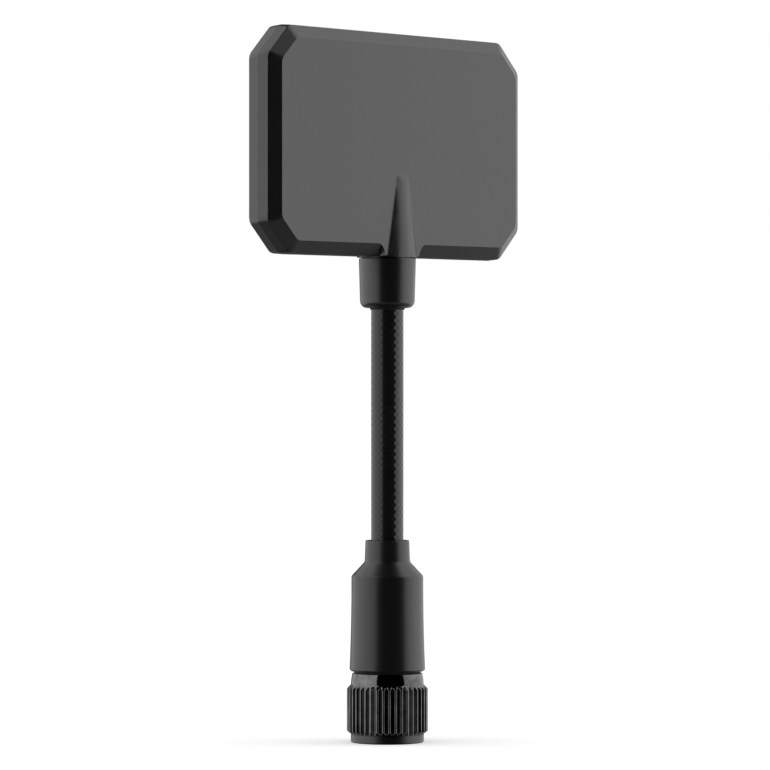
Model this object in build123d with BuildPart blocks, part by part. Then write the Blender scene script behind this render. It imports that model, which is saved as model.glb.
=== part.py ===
from build123d import *

import os
from math import pi, sqrt

# A directional antenna on a straight stem with a screw-on coaxial plug.
# Millimetres. The origin is at the centre of the coupling nut's foot, +Z runs up the stem,
# X is the width of the flat head and the head's rear face looks along -Y.

# Coupling nut
nut_foot_diameter = 9.0
nut_foot_height = 1.0
nut_foot_chamfer = 0.2
knurl_diameter = 10.0
knurl_length = 6.3
knurl_count = 40
knurl_depth = 0.4
knurl_land = 0.32
knurl_groove_floor = 0.16
knurl_end_chamfer = 0.52
nut_neck_length = 1.3
nut_neck_diameter = 8.6
nut_neck_chamfer = 0.1
thread_bore_diameter = 5.72
thread_length = 2.85
mouth_chamfer = 0.35
nut_wall_behind_ring = 1.45

# Plug inside the nut
plug_sleeve_diameter = 4.55
plug_sleeve_length = 1.95
plug_bore_diameter = 4.12
plane_setback = 0.05
body_diameter = 6.2
body_flange_diameter = 7.4
body_flange_height = 1.5
solder_barrel_diameter = 5.0
solder_barrel_length = 3.2
ring_width = 0.5
ring_groove_depth = 0.4
ring_stand_out = 0.32
ring_gap_angle = 28.0
gasket_thickness = 0.9
gasket_edge_gap = 0.08
gasket_chamfer = 0.15
contact_diameter = 1.27
contact_socket_diameter = 1.0
contact_socket_depth = 2.6
contact_slot_width = 0.16
contact_slot_length = 1.9
contact_cup_depth = 1.8
contact_rear_margin = 0.3

# Clearances
running_clearance = 0.05
seat_clearance = 0.02
axial_clearance = 0.08

# Boot over the plug
boot_gap = 0.15
boot_foot_diameter = 9.32
boot_foot_chamfer = 0.22
boot_barrel_diameter = 8.86
boot_barrel_height = 11.72
boot_straight_height = 1.1
boot_shoulder_height = 1.75
boot_neck_height = 2.65
boot_neck_foot_diameter = 5.6
boot_neck_diameter = 5.4
boot_shoulder_round = 0.7
boot_root_round = 0.6
boot_neck_chamfer = 0.12
boot_solder_room = 0.5

# Stem, a formable coaxial cable in a shrunk sleeve
conductor_diameter = 0.92
dielectric_diameter = 2.98
shield_diameter = 3.58
sleeve_diameter = 4.0
stem_exposed_length = 28.3

# Collar between the stem and the head
collar_lip_diameter = 4.4
collar_lip_height = 0.3
collar_foot_diameter = 6.7
collar_top_diameter = 7.04
collar_height = 5.9
collar_foot_round = 0.85
collar_top_chamfer = 0.1
collar_sleeve_depth = 4.5
collar_neck_diameter = 5.6
collar_neck_height = 2.5
neck_gap = 0.3

# Head
head_width = 46.4
head_height = 27.6
head_thickness = 5.0
head_corner = 3.75
head_corner_round = 1.3
side_draft = 0.12
bevel_depth = 0.95
bevel_inset = 1.5
face_corner = 2.75
edge_round = 0.18

# Tapered boss that carries the stem into the head
boss_foot_diameter = 7.0
boss_top_diameter = 4.66
boss_height = 12.4
boss_root_round = 0.5
land_half_width = 3.1
land_run_out_margin = 0.15

# Inside of the head
shell_wall = 1.3
rim_lip = 0.55
rim_lip_height = 0.42
lip_clearance = 0.05
seat_width = 1.0
face_wall = 0.9
pin_diameter = 1.5
pin_boss_diameter = 3.0
pin_reach = 0.6
pin_spacing = 24.0
pin_row = 11.5
board_thickness = 1.0
board_edge_gap = 0.1
board_hole_clearance = 0.1
copper_thickness = 0.07
copper_edge = 0.15

# Antenna pattern on the board
pattern_side_margin = 2.3
trace_width = 1.5
reflector_tail = 7.9
tip_gap = 1.9
driven_tail = 6.5
pattern_top_margin = 1.5
feed_slot_width = 1.04
feed_slot_length = 2.4
shield_setback = 0.8
solder_length = 1.5
solder_reach = 1.1
solder_rise = 0.45

# Heights along the stem
nut_height = nut_foot_height + knurl_length + nut_neck_length
boot_bottom = nut_height + boot_gap
boot_height = boot_barrel_height + boot_shoulder_height + boot_neck_height
boot_top = boot_bottom + boot_height
collar_bottom = boot_top + stem_exposed_length + collar_lip_height
collar_top = collar_bottom + collar_height
head_bottom = collar_top + neck_gap
head_middle = head_bottom + head_height / 2
thread_top = mouth_chamfer + thread_length
reference_plane = thread_top + plane_setback
gasket_seat = reference_plane + plug_sleeve_length
ring_bottom = nut_height - nut_wall_behind_ring - ring_width
flange_bottom = boot_bottom + axial_clearance / 2
flange_top = flange_bottom + body_flange_height
barrel_top = flange_top + solder_barrel_length
cable_end = flange_top
solder_ring_height = boot_solder_room
sleeve_bottom = barrel_top + solder_ring_height + axial_clearance
sleeve_top = collar_bottom + collar_sleeve_depth
collar_neck_top = collar_top + collar_neck_height
body_bore_radius = body_diameter / 2 + running_clearance

land_run_out = side_draft + bevel_inset + land_run_out_margin

# Heights on the board
pattern_top = head_bottom + head_height - shell_wall - board_edge_gap - pattern_top_margin
pattern_height = reflector_tail + tip_gap + driven_tail
pattern_bottom = pattern_top - pattern_height
feed_slot_top = pattern_top - trace_width / 2
cable_slot_top = feed_slot_top - feed_slot_length
shield_top = cable_slot_top - shield_setback
dielectric_top = cable_slot_top - axial_clearance
conductor_top = feed_slot_top - axial_clearance
cable_slot_half_width = shield_diameter / 2 + axial_clearance
channel_radius = shield_diameter / 2 + running_clearance

os.makedirs("parts", exist_ok=True)

# The head's planes look along -Y, so a positive offset goes towards the rear face.
head_plane = Plane(origin=(0, 0, head_middle), x_dir=(1, 0, 0), z_dir=(0, -1, 0))


def inner_corner(inset):
    """The corner leg that keeps an even distance from the head's outline."""
    return head_corner - inset * (2 - sqrt(2))


def outline(inset, corner):
    """The head's eight-sided outline with rounded corners, pulled in by inset."""
    Rectangle(head_width - 2 * inset, head_height - 2 * inset)
    chamfer(vertices(), length=corner)
    fillet(vertices(), radius=head_corner_round)


def pocket(inset):
    """The outline of a pocket, lip or board inside the head, an even distance in all round."""
    Rectangle(head_width - 2 * inset, head_height - 2 * inset)
    chamfer(vertices(), length=inner_corner(inset))


def ring_profile(inner_radius, outer_radius, bottom, top):
    """A plain rectangle on the XZ plane, to be turned about the stem's axis."""
    with Locations(((inner_radius + outer_radius) / 2, (bottom + top) / 2)):
        Rectangle(outer_radius - inner_radius, top - bottom)


# The outside of one half of the head, with its bevel, land and half boss.
half_thickness = head_thickness / 2
side_height = half_thickness - bevel_depth
draft_slope = side_draft / side_height

with BuildPart() as bevelled_half:
    with BuildSketch(head_plane):
        outline(0, head_corner)
    with BuildSketch(head_plane.offset(side_height)):
        outline(side_draft, inner_corner(side_draft))
    with BuildSketch(head_plane.offset(half_thickness)):
        outline(side_draft + bevel_inset, face_corner)
    loft(ruled=True)
    shoulder = bevelled_half.edges().filter_by_position(Axis.Y, -side_height - 0.01, -side_height + 0.01)
    fillet(shoulder, radius=edge_round)

# The land is the part of the bottom rim that stays full beside the boss. Its ends are
# quarter-rounds, so the bevel runs out in a curve on each side.
with BuildPart() as land:
    with BuildSketch(Plane(origin=(0, 0, head_bottom), x_dir=(1, 0, 0), z_dir=(0, -1, 0))):
        with BuildLine():
            end = land_half_width + land_run_out
            up = side_draft + bevel_inset + land_run_out
            left_arc = CenterArc((-end, 0), land_run_out, 0, 90)
            right_arc = CenterArc((end, 0), land_run_out, 90, 90)
            Polyline(left_arc @ 1, (-end, up), (end, up), right_arc @ 0)
            Line(left_arc @ 0, right_arc @ 1)
        make_face()
    extrude(amount=half_thickness)
    slant = head_bottom + draft_slope * half_thickness
    with BuildSketch(Plane.YZ) as undercut:
        with BuildLine():
            Polyline(
                (0, head_bottom), (-half_thickness, slant), (-head_thickness, head_bottom), close=True
            )
        make_face()
    extrude(amount=head_width, both=True, mode=Mode.SUBTRACT)

with BuildPart() as boss:
    with BuildSketch(Plane.XY.offset(head_bottom)):
        Circle(boss_foot_diameter / 2)
    with BuildSketch(Plane.XY.offset(head_bottom + boss_height)):
        Circle(boss_top_diameter / 2)
    loft()
    split(bisect_by=Plane.XZ, keep=Keep.TOP)

with BuildPart() as half_form:
    add(bevelled_half.part)
    add(land.part)
    add(boss.part)
    root_curve = half_form.edges().filter_by(GeomType.HYPERBOLA)
    fillet(root_curve, radius=min(boss_root_round, bevel_depth))

# Rear shell: the board's seat, the hollow, the rim lip, the locating pins and the cable's way in.
hollow_depth = half_thickness - face_wall
half_board = board_thickness / 2
seat_inset = shell_wall + seat_width
neck_bore_radius = collar_neck_diameter / 2 + seat_clearance
neck_bore_top = collar_neck_top + axial_clearance
pin_places = [(x, pin_row - head_height / 2) for x in (-pin_spacing / 2, pin_spacing / 2)]

with BuildPart() as rear_shell:
    add(half_form.part)
    with BuildSketch(head_plane):
        pocket(shell_wall - rim_lip)
    extrude(amount=-rim_lip_height)
    with BuildSketch(head_plane.offset(-rim_lip_height)):
        pocket(shell_wall)
    extrude(amount=rim_lip_height + half_board, mode=Mode.SUBTRACT)
    with BuildSketch(head_plane):
        pocket(seat_inset)
    extrude(amount=hollow_depth, mode=Mode.SUBTRACT)
    with BuildSketch(head_plane.offset(hollow_depth)):
        with Locations(pin_places):
            Circle(pin_boss_diameter / 2)
    extrude(amount=half_board - hollow_depth)
    with BuildSketch(head_plane.offset(half_board)):
        with Locations(pin_places):
            Circle(pin_diameter / 2)
    extrude(amount=-board_thickness - pin_reach)
    with BuildSketch(Plane.XY.offset(head_bottom)):
        Circle(neck_bore_radius)
    extrude(amount=neck_bore_top - head_bottom, mode=Mode.SUBTRACT)
    with BuildSketch(Plane.XY.offset(head_bottom)):
        Circle(channel_radius)
    extrude(amount=cable_slot_top - head_bottom, mode=Mode.SUBTRACT)
rear_shell.part.label = "rear_shell"
export_step(rear_shell.part, "parts/rear_shell.step")

# Front shell: the same form mirrored, with the groove for the lip and the pins' sockets.
with BuildPart() as front_form:
    add(half_form.part)
    mirror(about=Plane.XZ)
    split(bisect_by=Plane.XZ, keep=Keep.BOTTOM)

groove_inset = shell_wall - rim_lip - lip_clearance

with BuildPart() as front_shell:
    add(front_form.part)
    with BuildSketch(head_plane):
        pocket(groove_inset)
    extrude(amount=-rim_lip_height - lip_clearance, mode=Mode.SUBTRACT)
    with BuildSketch(head_plane):
        pocket(shell_wall)
    extrude(amount=-half_board, mode=Mode.SUBTRACT)
    with BuildSketch(head_plane):
        pocket(seat_inset)
    extrude(amount=-hollow_depth, mode=Mode.SUBTRACT)
    with BuildSketch(head_plane.offset(-hollow_depth)):
        with Locations(pin_places):
            Circle(pin_boss_diameter / 2)
    extrude(amount=hollow_depth - half_board)
    with BuildSketch(head_plane.offset(-half_board)):
        with Locations(pin_places):
            Circle(pin_diameter / 2 + running_clearance)
    extrude(amount=-pin_reach - axial_clearance, mode=Mode.SUBTRACT)
    with BuildSketch(Plane.XY.offset(head_bottom)):
        Circle(neck_bore_radius)
    extrude(amount=neck_bore_top - head_bottom, mode=Mode.SUBTRACT)
    with BuildSketch(Plane.XY.offset(head_bottom)):
        Circle(channel_radius)
    extrude(amount=cable_slot_top - head_bottom, mode=Mode.SUBTRACT)
front_shell.part.label = "front_shell"
export_step(front_shell.part, "parts/front_shell.step")

# Board: it fills the seat and is slotted for the collar's neck, the cable and the feed.
board_inset = shell_wall + board_edge_gap
board_plane = head_plane.offset(-half_board)

with BuildPart() as antenna_board:
    with BuildSketch(board_plane):
        pocket(board_inset)
    extrude(amount=board_thickness)
    with BuildSketch(board_plane):
        with Locations(pin_places):
            Circle(pin_diameter / 2 + board_hole_clearance)
        for half_width, top in (
            (neck_bore_radius + board_edge_gap, neck_bore_top),
            (cable_slot_half_width, cable_slot_top),
            (feed_slot_width / 2, feed_slot_top),
        ):
            depth = top - head_bottom
            with Locations((0, head_bottom + depth / 2 - head_middle)):
                Rectangle(2 * half_width, depth)
    extrude(amount=board_thickness, mode=Mode.SUBTRACT)
antenna_board.part.label = "antenna_board"
export_step(antenna_board.part, "parts/antenna_board.step")

# Copper on the board's rear face. Heights below are measured from the stem's foot.
copper_plane = Plane(origin=(0, -half_board, 0), x_dir=(1, 0, 0), z_dir=(0, -1, 0))
half_element = head_width / 2 - board_inset - pattern_side_margin
arm_start = feed_slot_width / 2 + copper_edge
tab_start = cable_slot_half_width + copper_edge
hot_tab_bottom = conductor_top - solder_length - copper_edge
ground_tab_bottom = shield_top - solder_length - copper_edge


def strip(left, right, bottom, top):
    """One straight run of copper, given by its edges."""
    with Locations(((left + right) / 2, (bottom + top) / 2)):
        Rectangle(right - left, top - bottom)


with BuildPart() as driven_arm_hot:
    with BuildSketch(copper_plane):
        strip(arm_start, half_element, pattern_top - trace_width, pattern_top)
        strip(half_element - trace_width, half_element, pattern_top - driven_tail, pattern_top)
        strip(arm_start, arm_start + trace_width, hot_tab_bottom, pattern_top)
    extrude(amount=copper_thickness)
driven_arm_hot.part.label = "driven_arm_hot"
export_step(driven_arm_hot.part, "parts/driven_arm_hot.step")

with BuildPart() as driven_arm_ground:
    with BuildSketch(copper_plane):
        strip(-half_element, -arm_start, pattern_top - trace_width, pattern_top)
        strip(-half_element, trace_width - half_element, pattern_top - driven_tail, pattern_top)
        strip(-tab_start - trace_width, -tab_start, ground_tab_bottom, pattern_top)
    extrude(amount=copper_thickness)
driven_arm_ground.part.label = "driven_arm_ground"
export_step(driven_arm_ground.part, "parts/driven_arm_ground.step")

with BuildPart() as reflector:
    with BuildSketch(copper_plane):
        for side in (-1, 1):
            ends = sorted((side * tab_start, side * half_element))
            tail = sorted((side * (half_element - trace_width), side * half_element))
            strip(*ends, pattern_bottom, pattern_bottom + trace_width)
            strip(*tail, pattern_bottom, pattern_bottom + reflector_tail)
    extrude(amount=copper_thickness)
reflector.part.label = "reflector"
export_step(reflector.part, "parts/reflector.step")

# Solder joints. Each fillet fills the corner between the round shield and the flat copper.
copper_face = half_board + copper_thickness
shield_radius = shield_diameter / 2
conductor_radius = conductor_diameter / 2


def shield_fillet(side):
    """The section of a joint beside the shield, on the side given as -1 or 1."""
    touch = sqrt(shield_radius**2 - copper_face**2)
    crest = copper_face + solder_rise
    crest_x = sqrt(shield_radius**2 - crest**2)
    foot_x = tab_start + solder_reach
    with BuildLine() as section:
        Polyline((side * touch, -copper_face), (side * foot_x, -copper_face), (side * crest_x, -crest))
        middle = (copper_face + crest) / 2
        middle_x = sqrt(shield_radius**2 - middle**2)
        ThreePointArc((side * crest_x, -crest), (side * middle_x, -middle), (side * touch, -copper_face))
    make_face(section.edges())


with BuildPart() as feed_solder:
    with BuildSketch(Plane.XY.offset(shield_top - solder_length)):
        shield_fillet(-1)
    extrude(amount=solder_length)
    with BuildSketch(Plane.XY.offset(conductor_top - solder_length)):
        left = -feed_slot_width / 2
        right = arm_start + solder_reach
        with BuildLine():
            Polyline(
                (left, -copper_face), (left, 0), (-left, 0), (-left, -copper_face), (right, -copper_face)
            )
            crown = ((left + right) / 2, -copper_face - solder_rise)
            ThreePointArc((right, -copper_face), crown, (left, -copper_face))
        make_face()
        Circle(conductor_radius + seat_clearance, mode=Mode.SUBTRACT)
    extrude(amount=solder_length)
feed_solder.part.label = "feed_solder"
export_step(feed_solder.part, "parts/feed_solder.step")

with BuildPart() as reflector_solder:
    with BuildSketch(Plane.XY.offset(pattern_bottom)):
        shield_fillet(-1)
        shield_fillet(1)
    extrude(amount=trace_width)
reflector_solder.part.label = "reflector_solder"
export_step(reflector_solder.part, "parts/reflector_solder.step")

# Cable: centre conductor, dielectric, shield and the shrunk sleeve over it.
contact_bottom = reference_plane + plane_setback
contact_top = cable_end - contact_rear_margin
conductor_bottom = contact_top - contact_cup_depth
dielectric_radius = dielectric_diameter / 2
cable_layers = {
    "centre_conductor": (0, conductor_radius, conductor_bottom, conductor_top),
    "coax_dielectric": (conductor_radius + seat_clearance, dielectric_radius, cable_end, dielectric_top),
    "coax_shield": (dielectric_radius + seat_clearance, shield_radius, cable_end, shield_top),
    "stem_sleeve": (shield_radius + seat_clearance, sleeve_diameter / 2, sleeve_bottom, sleeve_top),
}
for layer, (inner, outer, bottom, top) in cable_layers.items():
    with BuildPart() as cable_layer:
        with BuildSketch(Plane.XZ):
            ring_profile(inner, outer, bottom, top)
        revolve(axis=Axis.Z)
    cable_layer.part.label = layer
    export_step(cable_layer.part, f"parts/{layer}.step")

# Collar: a tapered cup with a lip round the sleeve below and a neck for the shells above.
sleeve_bore = sleeve_diameter / 2 + seat_clearance
shield_bore = shield_radius + seat_clearance
collar_foot = collar_foot_diameter / 2
collar_rim = collar_top_diameter / 2
collar_neck = collar_neck_diameter / 2
collar_lip_bottom = collar_bottom - collar_lip_height
sleeve_pocket_top = sleeve_top + axial_clearance

with BuildPart() as collar:
    with BuildSketch(Plane.XZ):
        with BuildLine():
            Polyline(
                (collar_lip_diameter / 2, collar_bottom),
                (collar_lip_diameter / 2, collar_lip_bottom),
                (sleeve_bore, collar_lip_bottom),
                (sleeve_bore, sleeve_pocket_top),
                (shield_bore, sleeve_pocket_top),
                (shield_bore, collar_neck_top),
                (collar_neck, collar_neck_top),
                (collar_neck, collar_top),
                (collar_rim - collar_top_chamfer, collar_top),
                (collar_rim, collar_top - collar_top_chamfer),
                (collar_foot, collar_bottom),
                close=True,
            )
        make_face()
        foot_corner = vertices().group_by(Axis.Y)[1].sort_by(Axis.X).last
        fillet(foot_corner, radius=collar_foot_round)
    revolve(axis=Axis.Z)
collar.part.label = "collar"
export_step(collar.part, "parts/collar.step")

# Boot: flared at the foot, straight to the shoulder, then a cone and a short neck.
boot_foot = boot_foot_diameter / 2
boot_barrel = boot_barrel_diameter / 2
barrel_end = boot_bottom + boot_barrel_height
flare_end = barrel_end - boot_straight_height
shoulder_end = barrel_end + boot_shoulder_height
flange_pocket = body_flange_diameter / 2 + seat_clearance
barrel_pocket = solder_barrel_diameter / 2 + running_clearance
pocket_top = barrel_top + solder_ring_height

with BuildPart() as boot:
    with BuildSketch(Plane.XZ):
        with BuildLine():
            Polyline(
                (boot_foot, boot_bottom + boot_foot_chamfer),
                (boot_foot - boot_foot_chamfer, boot_bottom),
                (flange_pocket, boot_bottom),
                (flange_pocket, flange_top),
                (barrel_pocket, flange_top),
                (barrel_pocket, pocket_top),
                (sleeve_bore, pocket_top),
                (sleeve_bore, boot_top),
                (boot_neck_diameter / 2 - boot_neck_chamfer, boot_top),
                (boot_neck_diameter / 2, boot_top - boot_neck_chamfer),
                (boot_neck_foot_diameter / 2, shoulder_end),
                (boot_barrel, barrel_end),
                (boot_barrel, flare_end),
            )
            TangentArc(
                (boot_barrel, flare_end), (boot_foot, boot_bottom + boot_foot_chamfer), tangent=(0, -1)
            )
        make_face()
        fillet(vertices().sort_by_distance((boot_barrel, barrel_end)).first, radius=boot_shoulder_round)
        root_corner = vertices().sort_by_distance((boot_neck_foot_diameter / 2, shoulder_end)).first
        fillet(root_corner, radius=boot_root_round)
    revolve(axis=Axis.Z)
boot.part.label = "boot"
export_step(boot.part, "parts/boot.step")

# Plug body: the thin sleeve, the gasket's seat, the ring groove, the flange and the solder barrel.
body_radius = body_diameter / 2
groove_radius = body_radius - ring_groove_depth
groove_bottom = ring_bottom - running_clearance
groove_top = ring_bottom + ring_width + running_clearance
plug_bore = plug_bore_diameter / 2

with BuildPart() as connector_body:
    with BuildSketch(Plane.XZ):
        with BuildLine():
            Polyline(
                (plug_bore, reference_plane),
                (plug_sleeve_diameter / 2, reference_plane),
                (plug_sleeve_diameter / 2, gasket_seat),
                (body_radius, gasket_seat),
                (body_radius, groove_bottom),
                (groove_radius, groove_bottom),
                (groove_radius, groove_top),
                (body_radius, groove_top),
                (body_radius, flange_bottom),
                (body_flange_diameter / 2, flange_bottom),
                (body_flange_diameter / 2, flange_top),
                (solder_barrel_diameter / 2, flange_top),
                (solder_barrel_diameter / 2, barrel_top),
                (shield_bore, barrel_top),
                (shield_bore, cable_end),
                (plug_bore, cable_end),
                close=True,
            )
        make_face()
    revolve(axis=Axis.Z)
connector_body.part.label = "connector_body"
export_step(connector_body.part, "parts/connector_body.step")

with BuildPart() as connector_insulator:
    with BuildSketch(Plane.XZ):
        ring_profile(
            contact_diameter / 2 + seat_clearance, plug_bore - seat_clearance, reference_plane, cable_end
        )
    revolve(axis=Axis.Z)
connector_insulator.part.label = "connector_insulator"
export_step(connector_insulator.part, "parts/connector_insulator.step")

# Centre contact: a slotted socket in front and a solder cup for the conductor behind.
with BuildPart() as centre_contact:
    with BuildSketch(Plane.XZ):
        ring_profile(0, contact_diameter / 2, contact_bottom, contact_top)
    revolve(axis=Axis.Z)
    with BuildSketch(Plane.XY.offset(contact_bottom)):
        Circle(contact_socket_diameter / 2)
    extrude(amount=contact_socket_depth, mode=Mode.SUBTRACT)
    with BuildSketch(Plane.XY.offset(conductor_bottom)):
        Circle(conductor_radius + seat_clearance)
    extrude(amount=contact_cup_depth, mode=Mode.SUBTRACT)
    with BuildSketch(Plane.XY.offset(contact_bottom)):
        Rectangle(contact_slot_width, contact_diameter)
        Rectangle(contact_diameter, contact_slot_width)
    extrude(amount=contact_slot_length, mode=Mode.SUBTRACT)
centre_contact.part.label = "centre_contact"
export_step(centre_contact.part, "parts/centre_contact.step")

# Solder that joins the shield to the body's barrel, a sloping ring.
with BuildPart() as cable_solder:
    with BuildSketch(Plane.XZ):
        solder_foot = solder_barrel_diameter / 2 - seat_clearance
        solder_crest = barrel_top + solder_ring_height - seat_clearance
        with BuildLine():
            Polyline(
                (shield_radius, solder_crest),
                (shield_radius, barrel_top),
                (solder_foot, barrel_top),
                close=True,
            )
        make_face()
    revolve(axis=Axis.Z)
cable_solder.part.label = "cable_solder"
export_step(cable_solder.part, "parts/cable_solder.step")

# Gasket round the sleeve, against its seat.
with BuildPart() as gasket:
    with BuildSketch(Plane.XZ):
        ring_profile(
            plug_sleeve_diameter / 2 + seat_clearance,
            body_radius - gasket_edge_gap,
            gasket_seat - gasket_thickness,
            gasket_seat,
        )
        chamfer(vertices().group_by(Axis.Y)[0], length=gasket_chamfer)
    revolve(axis=Axis.Z)
gasket.part.label = "gasket"
export_step(gasket.part, "parts/gasket.step")

# Snap ring, open over a small angle, in the body's groove and proud of it into the nut's.
ring_outer = body_radius + ring_stand_out

with BuildPart() as snap_ring:
    with BuildSketch(Plane.XZ):
        ring_profile(groove_radius + running_clearance, ring_outer, ring_bottom, ring_bottom + ring_width)
    revolve(axis=Axis.Z, revolution_arc=360 - ring_gap_angle)
snap_ring.part.label = "snap_ring"
export_step(snap_ring.part, "parts/snap_ring.step")

# Coupling nut: foot, chamfered knurl, crowned neck, threaded mouth and the bore over the body.
foot_radius = nut_foot_diameter / 2
knurl_radius = knurl_diameter / 2
thread_radius = thread_bore_diameter / 2
knurl_bottom = nut_foot_height
knurl_top = nut_foot_height + knurl_length
crown_root = knurl_radius - knurl_end_chamfer
neck_radius = nut_neck_diameter / 2
nut_groove_radius = ring_outer + axial_clearance
nut_groove_bottom = ring_bottom - axial_clearance
nut_groove_top = ring_bottom + ring_width + axial_clearance

with BuildPart() as coupling_nut:
    with BuildSketch(Plane.XZ):
        with BuildLine():
            Polyline(
                (neck_radius - nut_neck_chamfer, nut_height),
                (body_bore_radius, nut_height),
                (body_bore_radius, nut_groove_top),
                (nut_groove_radius, nut_groove_top),
                (nut_groove_radius, nut_groove_bottom),
                (body_bore_radius, nut_groove_bottom),
                (body_bore_radius, thread_top),
                (thread_radius, thread_top),
                (thread_radius, mouth_chamfer),
                (thread_radius + mouth_chamfer, 0),
                (foot_radius - nut_foot_chamfer, 0),
                (foot_radius, nut_foot_chamfer),
                (crown_root, knurl_bottom),
                (knurl_radius, knurl_bottom + knurl_end_chamfer),
                (knurl_radius, knurl_top - knurl_end_chamfer),
                (crown_root, knurl_top),
            )
            crown = TangentArc(
                (crown_root, knurl_top), (neck_radius, nut_height - nut_neck_chamfer), tangent=(0, 1)
            )
            Line(crown @ 1, (neck_radius - nut_neck_chamfer, nut_height))
        make_face()
    revolve(axis=Axis.Z)
    # Each groove between two ribs is a trapezoid that runs out through both chamfers.
    with BuildSketch(Plane.XY.offset(knurl_bottom)):
        pitch = pi * knurl_diameter / knurl_count
        mouth = pitch - knurl_land
        floor_radius = knurl_radius - knurl_depth
        flare = (mouth - knurl_groove_floor) / knurl_depth
        overrun = knurl_depth / 2
        outer_radius = floor_radius + knurl_depth + overrun
        half_mouth = (mouth + flare * overrun) / 2
        half_floor = knurl_groove_floor / 2
        with PolarLocations(0, knurl_count, start_angle=180 / knurl_count):
            Polygon(
                (floor_radius, -half_floor),
                (outer_radius, -half_mouth),
                (outer_radius, half_mouth),
                (floor_radius, half_floor),
                align=None,
            )
    extrude(amount=knurl_length, mode=Mode.SUBTRACT)
coupling_nut.part.label = "coupling_nut"
export_step(coupling_nut.part, "parts/coupling_nut.step")
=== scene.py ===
"""A flat directional antenna on a straight stem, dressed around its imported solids."""

import logging
import math
from dataclasses import dataclass
from enum import Enum
from typing import Any, Optional, Sequence, Union

import bmesh
import bpy
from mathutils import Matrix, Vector


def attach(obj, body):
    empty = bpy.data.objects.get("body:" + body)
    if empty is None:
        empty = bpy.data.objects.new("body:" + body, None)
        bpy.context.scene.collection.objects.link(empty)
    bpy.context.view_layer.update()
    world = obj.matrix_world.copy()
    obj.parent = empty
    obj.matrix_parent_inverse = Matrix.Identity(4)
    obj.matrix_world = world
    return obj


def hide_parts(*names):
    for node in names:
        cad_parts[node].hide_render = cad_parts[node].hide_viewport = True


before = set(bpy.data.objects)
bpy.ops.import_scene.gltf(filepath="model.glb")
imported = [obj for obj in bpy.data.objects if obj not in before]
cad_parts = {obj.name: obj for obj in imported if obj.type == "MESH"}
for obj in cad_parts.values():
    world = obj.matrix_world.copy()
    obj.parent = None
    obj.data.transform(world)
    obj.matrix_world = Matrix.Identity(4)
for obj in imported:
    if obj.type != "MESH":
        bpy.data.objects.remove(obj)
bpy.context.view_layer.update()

MM = 0.001
FULL_TURN = 2 * math.pi
MERGE_REACH = 1e-7
WHITE = (1.0, 1.0, 1.0, 1.0)
WHITE_RAYS = ("Is Camera Ray", "Is Glossy Ray", "Is Transmission Ray")
log = logging.getLogger("antenna")
Number = Union["Signal", float]
Colour = tuple[float, float, float]


class Body(Enum):
    """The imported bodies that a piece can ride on."""

    ANTENNA = "antenna"
    NUT = "nut"


class Slot(Enum):
    """The record's material slots, one given to each new piece."""

    SHELL = "shell_plastic"
    COLLAR = "collar_plastic"
    BOOT = "boot_plastic"
    SLEEVE = "sleeve_film"
    NUT = "black_plate"


class Signal:
    """One number in a node tree. Arithmetic on it adds the Math nodes."""

    def __init__(self, tree: "ShaderTree", socket: bpy.types.NodeSocket) -> None:
        """Keeps the tree and the output socket that carries the number."""
        self.tree = tree
        self.socket = socket

    def __add__(self, other: Number) -> "Signal":
        """The sum."""
        return self.tree.math("ADD", self, other)

    def __radd__(self, other: Number) -> "Signal":
        """The sum, with the number first."""
        return self.tree.math("ADD", other, self)

    def __sub__(self, other: Number) -> "Signal":
        """The difference."""
        return self.tree.math("SUBTRACT", self, other)

    def __rsub__(self, other: Number) -> "Signal":
        """The difference, with the number first."""
        return self.tree.math("SUBTRACT", other, self)

    def __mul__(self, other: Number) -> "Signal":
        """The product."""
        return self.tree.math("MULTIPLY", self, other)

    def __rmul__(self, other: Number) -> "Signal":
        """The product, with the number first."""
        return self.tree.math("MULTIPLY", other, self)

    def __pow__(self, other: Number) -> "Signal":
        """The power."""
        return self.tree.math("POWER", self, other)

    def sine(self) -> "Signal":
        """The sine."""
        return self.tree.math("SINE", self)

    def step(self, low: float, high: float) -> "Signal":
        """A smooth rise from 0 at low to 1 at high."""
        made = self.tree.node(
            "ShaderNodeMapRange",
            {"interpolation_type": "SMOOTHSTEP"},
            {"Value": self, "From Min": low, "From Max": high},
        )
        return Signal(self.tree, made.outputs["Result"])


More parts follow.
